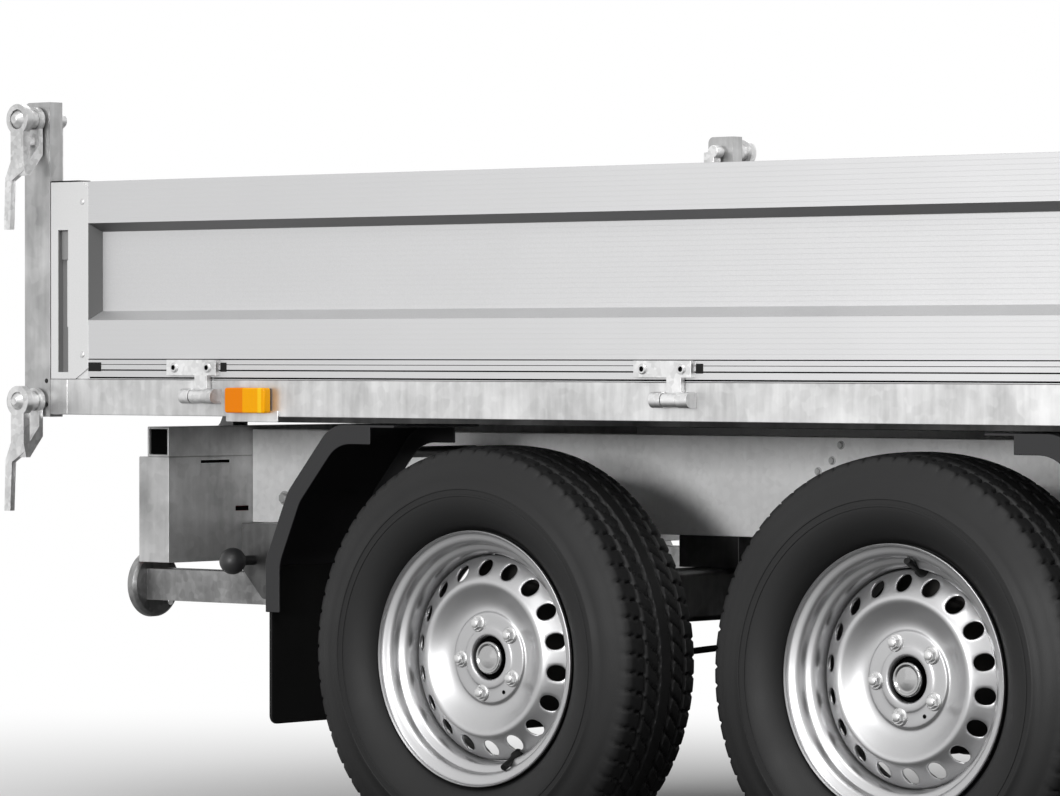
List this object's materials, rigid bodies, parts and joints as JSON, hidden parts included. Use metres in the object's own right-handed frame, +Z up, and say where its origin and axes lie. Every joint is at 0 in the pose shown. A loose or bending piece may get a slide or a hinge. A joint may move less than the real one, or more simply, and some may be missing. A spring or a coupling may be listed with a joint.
{
  "type": "dump trailer",
  "caption": "Tandem-axle dump trailer with a galvanised frame, drop sides, top-hung tailgate and a rear-tipping bed lifted by a telescopic cylinder.",
  "frame": {"origin": "ground level under the middle of the trailer's length and width", "axes": "+X forward towards the coupling, +Y to the left, +Z up"},
  "size_m": [4.564, 1.932, 1.202],
  "materials": {
    "galvanised_steel": "hot-dip galvanised, satin with a mottled spangle",
    "anodised_aluminium": "anodised, finely ribbed",
    "bare_steel": "plain turned steel",
    "wheel_silver": "silver wheel paint",
    "tyre_rubber": "matte black tyre rubber",
    "black_rubber": "matte black rubber",
    "black_plastic": "moulded black plastic",
    "black_paint": "black satin paint",
    "amber_lens": "clear amber lens",
    "red_lens": "red lamp lens"
  },
  "bodies": {
    "chassis": {"side_members": "galvanised_steel", "chassis_cross_tubes": "galvanised_steel", "rear_cross_tube": "galvanised_steel", "tip_hinge_ears": "galvanised_steel", "lamp_board": "galvanised_steel", "tail_lamps": "red_lens", "bed_rest_pads": "black_rubber", "drawbar_arms": "galvanised_steel", "overrun_housing": "galvanised_steel", "overrun_gaiter": "black_rubber", "coupling_head": "galvanised_steel", "handbrake_lever": "black_paint", "jockey_outer_tube": "galvanised_steel", "power_pack": "black_plastic", "cylinder_cradle": "galvanised_steel", "axle_beams": "galvanised_steel", "swing_arms": "galvanised_steel", "brake_linkage": "galvanised_steel", "brake_cables": "black_rubber", "mudguards": "black_plastic", "mud_flaps": "black_rubber", "outrigger_brackets": "galvanised_steel", "leg_lock_knobs": "black_plastic"},
    "bed": {"bed_side_rails": "galvanised_steel", "bed_end_rails": "galvanised_steel", "bed_floor": "galvanised_steel", "bed_cross_beams": "galvanised_steel", "bed_sub_beams": "galvanised_steel", "bed_lugs": "galvanised_steel", "rear_posts": "galvanised_steel", "front_posts": "galvanised_steel", "headboard": "anodised_aluminium", "upper_lock_levers": "galvanised_steel", "rail_hinge_barrels": "galvanised_steel", "side_marker_lamps": "amber_lens"},
    "side_board_left": {"side_board_left": "anodised_aluminium", "side_board_fittings_left": "galvanised_steel"},
    "side_board_right": {"side_board_right": "anodised_aluminium", "side_board_fittings_right": "galvanised_steel"},
    "tailgate": {"tailgate_panel": "anodised_aluminium", "tailgate_arms": "galvanised_steel", "lower_lock_levers": "galvanised_steel"},
    "jockey_leg": {"jockey_inner_tube": "galvanised_steel"},
    "jockey_fork": {"jockey_fork": "galvanised_steel"},
    "jockey_wheel": {"jockey_wheel": "black_rubber"},
    "leg_left": {"support_leg_left": "galvanised_steel"},
    "leg_right": {"support_leg_right": "galvanised_steel"},
    "cylinder_barrel": {"cylinder_barrel": "black_paint"},
    "cylinder_stage_1": {"cylinder_stage_1": "bare_steel"},
    "cylinder_stage_2": {"cylinder_stage_2": "bare_steel"},
    "cylinder_stage_3": {"cylinder_stage_3": "bare_steel"},
    "cylinder_stage_4": {"cylinder_stage_4": "bare_steel"},
    "wheel_rear_left": {"wheel_rear_left": "wheel_silver", "tyre_rear_left": "tyre_rubber"},
    "wheel_rear_right": {"wheel_rear_right": "wheel_silver", "tyre_rear_right": "tyre_rubber"},
    "wheel_front_left": {"wheel_front_left": "wheel_silver", "tyre_front_left": "tyre_rubber"},
    "wheel_front_right": {"wheel_front_right": "wheel_silver", "tyre_front_right": "tyre_rubber"}
  },
  "joints": [
    {"name": "bed_tilt", "type": "hinge", "parent": "chassis", "child": "bed", "pos_m": [-2.218, 0, 0.655], "axis": [0, -1, 0], "range_deg": [0, 45]},
    {"name": "tailgate_swing", "type": "hinge", "parent": "bed", "child": "tailgate", "pos_m": [-2.248, 0, 1.173], "axis": [0, 1, 0], "range_deg": [0, 90]},
    {"name": "side_board_left_drop", "type": "hinge", "parent": "bed", "child": "side_board_left", "pos_m": [-1.888, 0.924, 0.722], "axis": [-1, 0, 0], "range_deg": [0, 175]},
    {"name": "side_board_right_drop", "type": "hinge", "parent": "bed", "child": "side_board_right", "pos_m": [-1.888, -0.924, 0.722], "axis": [1, 0, 0], "range_deg": [0, 175]},
    {"name": "jockey_lift", "type": "slide", "parent": "chassis", "child": "jockey_leg", "axis": [0, 0, 1], "range_m": [0, 0.15]},
    {"name": "jockey_swivel", "type": "hinge", "parent": "jockey_leg", "child": "jockey_fork", "pos_m": [1.352, -0.208, 0.22], "axis": [0, 0, 1], "continuous": true},
    {"name": "jockey_spin", "type": "hinge", "parent": "jockey_fork", "child": "jockey_wheel", "pos_m": [1.307, -0.208, 0.11], "axis": [0, 1, 0], "continuous": true},
    {"name": "cylinder_lean", "type": "hinge", "parent": "chassis", "child": "cylinder_barrel", "pos_m": [-0.578, 0, 0.595], "axis": [0, -1, 0], "range_deg": [-0.5, 22.72]},
    {"name": "leg_left_swing", "type": "hinge", "parent": "chassis", "child": "leg_left", "pos_m": [-1.933, 0.66, 0.404], "axis": [0, -1, 0], "range_deg": [0, 90]},
    {"name": "leg_right_swing", "type": "hinge", "parent": "chassis", "child": "leg_right", "pos_m": [-1.933, -0.66, 0.404], "axis": [0, -1, 0], "range_deg": [0, 90]},
    {"name": "wheel_rear_left_spin", "type": "hinge", "parent": "chassis", "child": "wheel_rear_left", "pos_m": [-1.296, 0.84, 0.325], "axis": [0, 1, 0], "continuous": true},
    {"name": "wheel_rear_right_spin", "type": "hinge", "parent": "chassis", "child": "wheel_rear_right", "pos_m": [-1.296, -0.84, 0.325], "axis": [0, 1, 0], "continuous": true},
    {"name": "wheel_front_left_spin", "type": "hinge", "parent": "chassis", "child": "wheel_front_left", "pos_m": [-0.5, 0.84, 0.325], "axis": [0, 1, 0], "continuous": true},
    {"name": "wheel_front_right_spin", "type": "hinge", "parent": "chassis", "child": "wheel_front_right", "pos_m": [-0.5, -0.84, 0.325], "axis": [0, 1, 0], "continuous": true},
    {"name": "cylinder_slide_1", "type": "slide", "parent": "cylinder_barrel", "child": "cylinder_stage_1", "axis": [0, 0, 1], "range_m": [-0.002, 0.31484]},
    {"name": "cylinder_slide_2", "type": "slide", "parent": "cylinder_stage_1", "child": "cylinder_stage_2", "axis": [0, 0, 1], "range_m": [-0.002, 0.31484]},
    {"name": "cylinder_slide_3", "type": "slide", "parent": "cylinder_stage_2", "child": "cylinder_stage_3", "axis": [0, 0, 1], "range_m": [-0.002, 0.31484]},
    {"name": "cylinder_slide_4", "type": "slide", "parent": "cylinder_stage_3", "child": "cylinder_stage_4", "axis": [0, 0, 1], "range_m": [-0.002, 0.31484]}
  ],
  "couplings": [
    {"joint": "cylinder_lean", "follows": "bed_tilt", "ratio": 0.49387},
    {"joint": "cylinder_slide_1", "follows": "bed_tilt", "m_per_rad": 0.39705},
    {"joint": "cylinder_slide_2", "follows": "bed_tilt", "m_per_rad": 0.39705},
    {"joint": "cylinder_slide_3", "follows": "bed_tilt", "m_per_rad": 0.39705},
    {"joint": "cylinder_slide_4", "follows": "bed_tilt", "m_per_rad": 0.39705}
  ]
}
